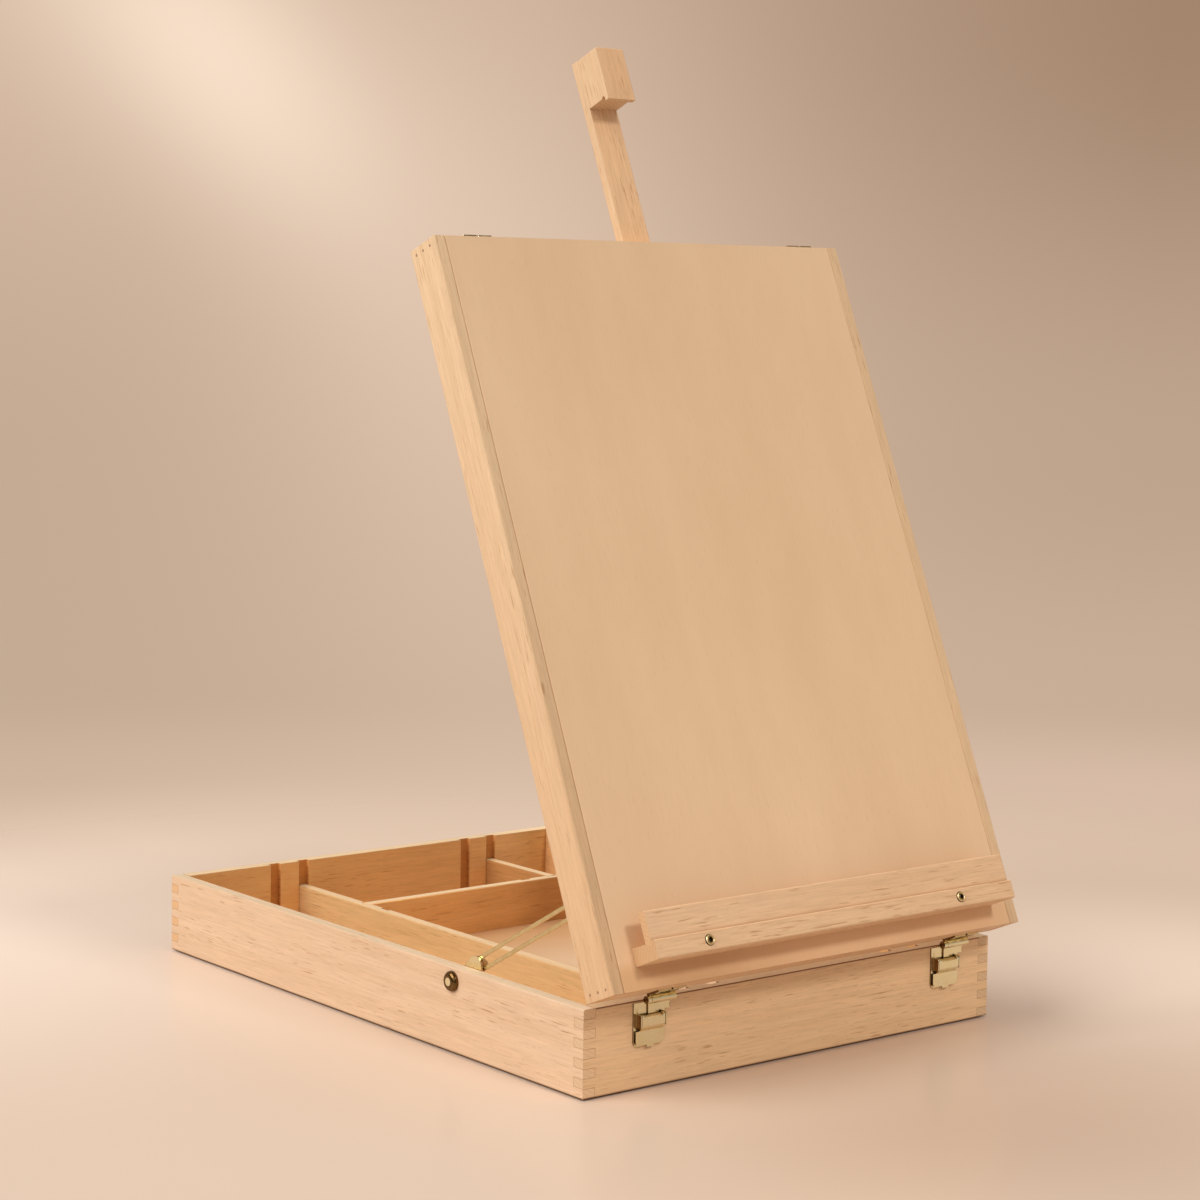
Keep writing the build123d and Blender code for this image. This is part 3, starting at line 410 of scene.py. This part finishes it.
# Boards: the grain's two directions and an offset, so that no two look alike
boards = {
    "base_front_board": (right, up, 1.3),
    "base_back_board": (right, up, 5.9),
    "base_left_board": (back, up, 2.7),
    "base_right_board": (back, up, 4.1),
    "lid_left_board": (lid_up, lid_out, 3.3),
    "lid_right_board": (lid_up, lid_out, 6.2),
    "lid_top_rail": (right, lid_out, 7.7),
    "lid_bottom_rail": (right, lid_out, 8.4),
    "ledge_block": (right, lid_out, 9.1),
    "ledge_lip": (right, lid_up, 10.6),
    "mast_bar": (lid_up, right, 11.2),
    "mast_block": (lid_up, lid_out, 12.9),
    "mast_rail_left": (lid_up, right, 13.4),
    "mast_rail_right": (lid_up, right, 14.8),
    "mast_bed": (lid_up, right, 15.3),
    "clamp_bridge": (right, lid_up, 16.6),
    "mast_stop_pin": (lid_out, right, 17.1),
    "divider_long": (back, up, 18.7),
    "divider_cross": (right, up, 19.2),
    "divider_short": (back, up, 20.5),
}

# What differs from board to board, as the photo shows it
plain = (1.0, 1.0, 1.0)
# Painted light in the settings below: inside tints and their slopes are painted shade and bounce light, rim tints
# painted highlights, front tints painted shade, and shadow lines painted shadows
rim_highlight_tint = (1.13, 1.26, 1.29)
settings = {
    "base_front_board": dict(
        end=pale_end((0.86, 0.89, 0.94)),
        joint=(back, inner_y),
        inner=(0.94, 0.82, 0.66),
        rim_highlight=(1.0, 1.06, 1.1),
        slope=(right, -0.15, 0.15, (0.96, 0.94, 0.88), (1.05, 1.03, 0.95)),
        shadow_line=(-up, -board_top + 0.0005, -board_top + 0.0010, 1.0, -back),
    ),
    "base_back_board": dict(
        joint=(back, inner_y),
        inner=(1.13, 1.06, 0.78),
        rim_highlight=rim_highlight_tint,
        inside_shade_slopes=[
            (right, -0.03, 0.035, (1.17, 1.16, 1.10), plain),
            (right, 0.105, 0.130, plain, (0.70, 0.62, 0.50)),
        ],
    ),
    "base_left_board": dict(
        end=pale_end((0.96, 0.95, 0.93)),
        joint=(right, inner_x),
        inner=(0.94, 0.82, 0.66),
        rim_highlight=rim_highlight_tint,
        sides=(0.92, 0.955, 1.06),
    ),
    "base_right_board": dict(
        end=pale_end((0.90, 0.90, 0.87)),
        joint=(right, inner_x),
        inner=(1.05, 0.92, 0.68),
        rim_highlight=rim_highlight_tint,
    ),
    "divider_long": dict(inner=(0.90, 0.86, 0.68), rim_highlight=rim_highlight_tint),
    "divider_cross": dict(
        inner=(1.04, 0.88, 0.58),
        rim_highlight=rim_highlight_tint,
        inside_shade_slopes=[
            (right, -0.03, 0.050, (1.36, 1.42, 1.46), (0.94, 0.93, 0.92)),
            (right, 0.055, 0.085, plain, (0.68, 0.62, 0.56)),
        ],
    ),
    "divider_short": dict(inner=(0.63, 0.47, 0.28), rim_highlight=rim_highlight_tint),
    "lid_left_board": dict(
        front=(0.86, 0.84, 0.80),
        # Painted shade: darker towards the lid's foot, lighter towards its top
        slope=(lid_up, lid_foot, lid_foot + 0.42, (0.86, 0.82, 0.78), (1.10, 1.15, 1.20)),
    ),
    "lid_right_board": dict(front=(0.86, 0.84, 0.80)),
    "mast_block": dict(front=(0.92, 0.81, 0.71)),
    "mast_bar": dict(front=(0.99, 0.90, 0.81)),
    "ledge_lip": dict(
        end=dark_end(0.9),
        front=(0.92, 0.87, 0.84),
        shadow_line=(lid_up, *lip_shadow_band, 0.6, lid_out),
    ),
    "ledge_block": dict(end=dark_end(0.84), front=(0.93, 0.88, 0.84)),
}
for name, grain in boards.items():
    dress(wood(name + "_beech", *grain, **settings.get(name, {})), name)

panel = veneer("panel_veneer", lid_up, right, 2.3, (0.79, 0.525, 0.311), (0.715, 0.458, 0.258),
               foot=panel_foot_shade)
# The tray's bottom carries painted shade: lighter towards the front, darker and warmer towards the back
plywood = veneer("bottom_plywood", back, right, 6.1, (0.78, 0.535, 0.335), (0.72, 0.475, 0.285),
                 slope=(back, 0.03, 0.095, (1.10, 1.14, 1.17), (0.90, 0.79, 0.63)))
dress(panel, "lid_panel")
dress(plywood, "base_bottom_panel")

# Fittings
bright = ((0.83, 0.71, 0.42), (0.88, 0.77, 0.50))
dull = ((0.78, 0.62, 0.33), (0.84, 0.69, 0.40))
# Rings of painted dark reflection round each anchor bolt's head, and painted shade in each ledge cup's hole and
# round its edge
bolt_shade_rings = (back, up, [(bolt.y, bolt.z)], 0.0, 0.0023)
screw_places = [(screws[0].x + screw_radius, screw_line), (screws[1].x - screw_radius, screw_line)]
cup_shade_rings = (right, lid_up, screw_places, 0.00145, 0.00272)
brass = metal("bright_brass", *bright, 0.20)
hem_brass = metal("hem_brass", *dull, 0.42)
zinc = metal("zinc_plate", (0.60, 0.60, 0.59), (0.70, 0.70, 0.68), 0.35)
knob = moulded("knob_black", (0.025, 0.024, 0.023), 0.45)
# Catches and leaves: painted shade on faces turned to the sides
catch_brass = metal("catch_brass", *bright, 0.20, shaded_sides=right)
bolt_brass = metal("bolt_brass", (0.86, 0.76, 0.48), (0.92, 0.84, 0.60), 0.16,
                   rings=bolt_shade_rings, ring_shade=(0.15, 0.085, 0.03))
cup_brass = metal("cup_brass", *dull, 0.42, rings=cup_shade_rings, ring_shade=(0.035, 0.018, 0.008))
stay_brass = metal("stay_brass", (0.62, 0.49, 0.25), (0.76, 0.62, 0.34), 0.20)
worn_brass = metal("worn_brass", (0.42, 0.31, 0.17), (0.50, 0.37, 0.21), 0.40)
nail_heads = moulded("nail_heads", (0.36, 0.20, 0.10), 0.6)
for subpart in frame["record"]["subparts"]:
    name = subpart["node"]
    if subpart["material_slot"] == "brass":
        dress(catch_brass if "catch_" in name or "leaf_" in name else brass, name)
dress(bolt_brass, "anchor_bolts")
dress(cup_brass, "ledge_cups", "ledge_screws")
dress(stay_brass, "stay_bar_left", "stay_bar_right")
dress(worn_brass, "leaf_screws")
dress(nail_heads, "lid_nails")
dress(zinc, "ledge_tnuts", "clamp_screw")
dress(knob, "clamp_knob")

# The folded upper edge of each catch lever, between its knuckles
hem_count = 24
hem_lean = radians(150)
hem_long, hem_short = 0.00130, 0.00045
hem_out, hem_up = 0.00025, 0.00010
hem_half_length = 0.0059


def lever_roll(place):
    """A flat oval hem on the lever's front, which leans back and clears the hook as the lever lifts."""
    joint = joints["lever_" + place + "_lift"]
    pivot_x, pivot_y, pivot_z = joint["pos_m"]
    side = 1 if pivot_y > 0 else -1
    lift = -radians(joint["range_deg"][0])
    ring = []
    for step in range(hem_count):
        turn = radians(360 * step / hem_count)
        long_way, short_way = hem_long * cos(turn), hem_short * sin(turn)
        out_way = hem_out + long_way * cos(hem_lean) - short_way * sin(hem_lean)
        up_way = hem_up + long_way * sin(hem_lean) + short_way * cos(hem_lean)
        lifted_out = out_way * cos(lift) - up_way * sin(lift)
        lifted_up = out_way * sin(lift) + up_way * cos(lift)
        ring.append((pivot_y + side * lifted_out, pivot_z + lifted_up))
    points = []
    for end_x in (pivot_x - hem_half_length, pivot_x + hem_half_length):
        points += [(end_x, y, z) for y, z in ring[::side]]
    faces = []
    for this in range(hem_count):
        following = (this + 1) % hem_count
        faces.append((this, following, following + hem_count, this + hem_count))
    faces.append(tuple(range(hem_count - 1, -1, -1)))
    faces.append(tuple(range(hem_count, 2 * hem_count)))
    mesh = bpy.data.meshes.new("lever_roll_" + place)
    mesh.from_pydata(points, [], faces)
    mesh.materials.append(hem_brass)
    made = bpy.data.objects.new("lever_roll_" + place, mesh)
    scene.collection.objects.link(made)
    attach(made, "lever_" + place)


for place in ("front_left", "front_right", "rear_left", "rear_right"):
    lever_roll(place)

# Floor: pale paper near the object, with pools of painted light and painted shadow on it, which gives way to the
# backdrop further off
reach = 12.0
floor_corners = [(-reach, -reach, 0), (reach, -reach, 0), (reach, reach, 0), (-reach, reach, 0)]
# Painted light behind on the left and to the right, and a painted shadow in front of the box
painted_light_and_shadow_pools = [
    ((-0.30, 0.36, 0), 0.50, (0.88, 0.735, 0.625)),
    ((0.0, -0.38, 0), 0.26, (0.56, 0.415, 0.315)),
    ((0.33, -0.17, 0), 0.28, (0.92, 0.735, 0.605)),
]
fade_start, fade_end = 0.40, 0.88
floor_mesh = bpy.data.meshes.new("floor")
floor_mesh.from_pydata(floor_corners, [], [(0, 1, 2, 3)])
floor = bpy.data.objects.new("floor", floor_mesh)
floor.location = (0, 0, -0.0001)
scene.collection.objects.link(floor)
g = Surface("floor_paper")
paper = (0.69, 0.535, 0.42)
for centre, size, colour in painted_light_and_shadow_pools:
    near = g.span(g.distance(g.place, centre), size, 0.0, curve="SMOOTHSTEP")
    paper = g.mix(near, paper, colour)
g.paint(paper, 0.24, specular=0.55)
clear = g.node("ShaderNodeBsdfTransparent")
fade = g.node("ShaderNodeMixShader")
far = g.span(g.distance(g.place, (0, 0, 0)), fade_start, fade_end, curve="SMOOTHSTEP")
g.set(fade.inputs[0], far)
g.set(fade.inputs[1], g.shader.outputs[0])
g.set(fade.inputs[2], clear.outputs[0])
g.set(g.tree.nodes["Material Output"].inputs["Surface"], fade.outputs[0])
floor_mesh.materials.append(g.material)

# Backdrop: a warm wall whose painted light and shade change with height and from left to right, with a soft beam
# of light across its upper left
world = bpy.data.worlds.new("studio")
world.use_nodes = True
scene.world = world
world.node_tree.nodes.clear()
g = Graph(world.node_tree)
sky = g.coords.outputs["Generated"]
view_turn = radians(38.7)
view_right = Vector((cos(view_turn), -sin(view_turn), 0))
view_ahead = Vector((sin(view_turn), cos(view_turn), 0))
ramp_reach = 0.3


def decay(value):
    """2.718 to the power of a value, for spots of light that fade out."""
    return g.math("POWER", 2.718, value)


def backdrop_ramp(stops):
    """Colours from the lowest stop to the highest, by height in the backdrop from -0.3 to 0.3."""
    made = g.node("ShaderNodeValToRGB")
    made.color_ramp.interpolation = "EASE"
    position = g.math("ADD", g.math("MULTIPLY", g.dot(sky, up), 0.5 / ramp_reach), 0.5)
    g.set(made.inputs[0], position)
    points = made.color_ramp.elements
    for index, (place, colour) in enumerate([stops[0], stops[-1], *stops[1:-1]]):
        spot = place * 0.5 / ramp_reach + 0.5
        point = points[index] if index < 2 else points.new(spot)
        point.position = spot
        point.color = (*colour, 1)
    return made.outputs["Color"]


def beam(wall, colour, across, height, long_turn, long_size, short_size):
    """A soft oval of light on the wall: where it lies, which way it runs, and how far it spreads."""
    middle = (view_ahead + view_right * across + up * height).normalized()
    long_axis = (view_right * cos(long_turn) + up * sin(long_turn)).normalized()
    short_axis = middle.cross(long_axis).normalized()
    spread = 0.0
    for axis, size in ((long_axis, long_size), (short_axis, short_size)):
        away = g.math("DIVIDE", g.math("SUBTRACT", g.dot(sky, axis), middle.dot(axis)), size)
        spread = g.math("ADD", g.math("POWER", away, 2.0), spread)
    ahead = g.math("GREATER_THAN", g.dot(sky, view_ahead), 0.0)
    strength = g.math("MULTIPLY", decay(g.math("MULTIPLY", spread, -1.0)), ahead)
    return g.mix(strength, wall, colour)


def glow(direction, width, level):
    """A soft spot of light in one direction."""
    near = g.math("SUBTRACT", g.dot(sky, Vector(direction).normalized()), 1.0)
    return g.math("MULTIPLY", decay(g.math("DIVIDE", near, width)), level)


left_tones = backdrop_ramp([
    (-0.21, (0.75, 0.575, 0.46)),
    (-0.165, (0.62, 0.455, 0.34)),
    (-0.135, (0.555, 0.405, 0.295)),
    (-0.05, (0.555, 0.400, 0.292)),
    (0.11, (0.66, 0.48, 0.36)),
])
right_tones = backdrop_ramp([
    (-0.21, (0.72, 0.54, 0.42)),
    (-0.165, (0.68, 0.50, 0.385)),
    (-0.135, (0.58, 0.42, 0.31)),
    (-0.05, (0.52, 0.37, 0.265)),
    (0.11, (0.37, 0.235, 0.155)),
])
half_blend = 0.5 / 2.6
wall = g.mix(g.span(g.dot(sky, view_right), -half_blend, half_blend), left_tones, right_tones)
wall = beam(wall, (0.72, 0.535, 0.408), across=-0.042, height=0.0,
            long_turn=radians(-70), long_size=0.16, short_size=0.095)
wall = beam(wall, (0.92, 0.73, 0.575), across=-0.140, height=0.090,
            long_turn=radians(-43.8), long_size=0.085, short_size=0.038)

# What polished metal mirrors from behind the camera: a dim room with soft windows
room = g.math("ADD", glow((-0.75, -0.45, 0.55), 0.07, 1.9), glow((0.72, -0.66, 0.05), 0.05, 0.62))
room = g.math("ADD", g.math("ADD", room, glow((0.1, -0.9, 0.6), 0.05, 0.9)), 0.07)
room_colour = g.node("ShaderNodeVectorMath", operation="SCALE")
room_colour.inputs[0].default_value = (1.0, 0.93, 0.82)
g.set(room_colour.inputs["Scale"], room)
behind = g.span(g.dot(sky, view_ahead), 0.25, -0.15, curve="SMOOTHSTEP")
ray = g.node("ShaderNodeLightPath").outputs
in_room = g.math("MULTIPLY", behind, ray["Is Glossy Ray"])

# Camera and glossy rays see the wall and the room, and all other rays an even light
seen = g.node("ShaderNodeBackground")
g.set(seen.inputs["Color"], g.mix(in_room, wall, room_colour.outputs[0]))
lit = g.node("ShaderNodeBackground")
lit.inputs["Color"].default_value = (1.0, 0.985, 0.965, 1)
lit.inputs["Strength"].default_value = 0.46
choice = g.node("ShaderNodeMixShader")
g.set(choice.inputs[0], g.math("MAXIMUM", ray["Is Camera Ray"], ray["Is Glossy Ray"]))
g.set(choice.inputs[1], lit.outputs[0])
g.set(choice.inputs[2], seen.outputs[0])
g.set(g.node("ShaderNodeOutputWorld").inputs["Surface"], choice.outputs[0])


# Lamps
def sun(name, place, energy, colour, angle):
    """A sun that shines from a place towards the object."""
    data = bpy.data.lights.new(name, "SUN")
    data.energy = energy
    data.color = colour
    data.angle = angle
    made = bpy.data.objects.new(name, data)
    made.location = place
    made.rotation_mode = "QUATERNION"
    made.rotation_quaternion = (object_middle - Vector(place)).to_track_quat("-Z", "Y")
    scene.collection.objects.link(made)


object_middle = Vector((0, -0.02, 0.2))
sun("key", (-2.1, 0.35, 2.3), 2.48, (1.0, 0.975, 0.94), radians(48))
sun("fill", (0.24, -2.4, 2.35), 1.02, (1.0, 0.985, 0.965), radians(10))

# Camera, at the photo's place and angle
azimuth, elevation, roll = radians(-38.72), radians(4.705), radians(0.786)
target = Vector((-0.1436, -0.210, 0.2910))
camera_distance = 1.42545
focal_pixels = 2796.6
photo_pixels = 1200
sensor = 36.0
away = Vector((sin(azimuth) * cos(elevation), -cos(azimuth) * cos(elevation), sin(elevation)))
level_side = (-away).cross(up).normalized()
level_above = level_side.cross(-away)
side = level_side * cos(roll) + level_above * sin(roll)
above = level_above * cos(roll) - level_side * sin(roll)
camera_data = bpy.data.cameras.new("camera")
camera_data.sensor_width = sensor
camera_data.lens = focal_pixels / photo_pixels * sensor
camera_data.shift_y = -0.05
camera_data.clip_start = 0.05
camera_data.clip_end = 200.0
camera = bpy.data.objects.new("camera", camera_data)
camera_turn = Matrix((side, above, away)).transposed().to_4x4()
camera.matrix_world = Matrix.Translation(target + away * camera_distance) @ camera_turn
scene.collection.objects.link(camera)
scene.camera = camera
